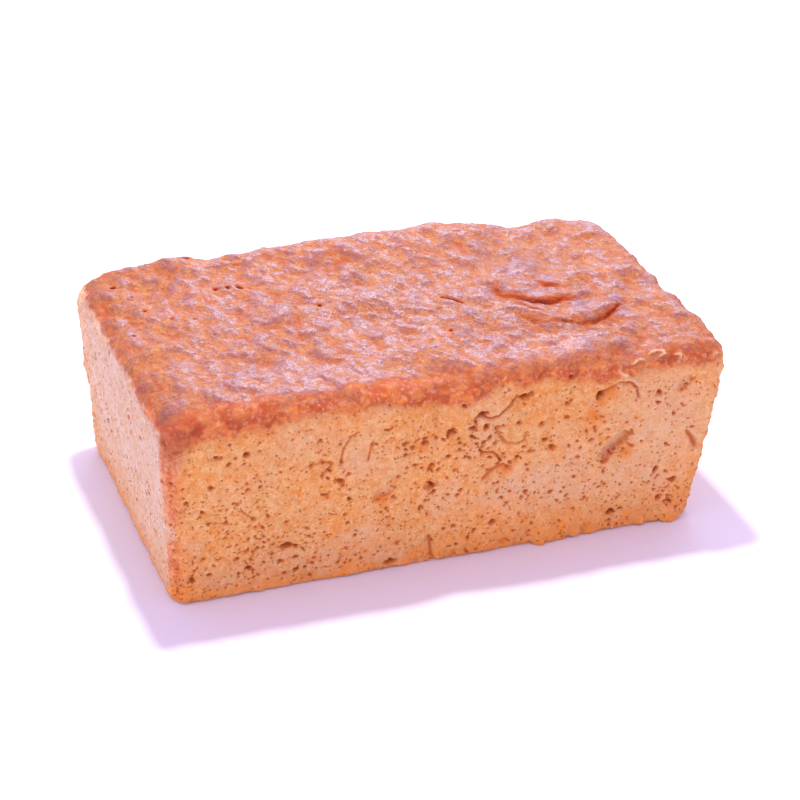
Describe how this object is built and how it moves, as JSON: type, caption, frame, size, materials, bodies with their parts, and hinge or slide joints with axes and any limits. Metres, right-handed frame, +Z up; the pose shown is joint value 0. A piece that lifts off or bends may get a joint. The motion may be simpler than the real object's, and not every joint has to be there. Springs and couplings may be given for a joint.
{
  "type": "sourdough tin loaf",
  "caption": "Uncut sourdough bread baked in a loaf tin: a tapered block with rounded corners, pitted tan sides and an uneven, wrinkled, glossy brown top crust with folds.",
  "frame": {"origin": "centre of the loaf's bounding box at the plane of its flat base", "axes": "+X along the loaf's length towards the end with the folds, +Y across it, the long side with the dents facing -Y, +Z up"},
  "size_m": [0.2356, 0.1394, 0.0861],
  "materials": {
    "crust": "baked bread crust: matte and porous on the sides, glossy and wrinkled on top"
  },
  "bodies": {
    "root": {"loaf": "crust"}
  },
  "joints": []
}
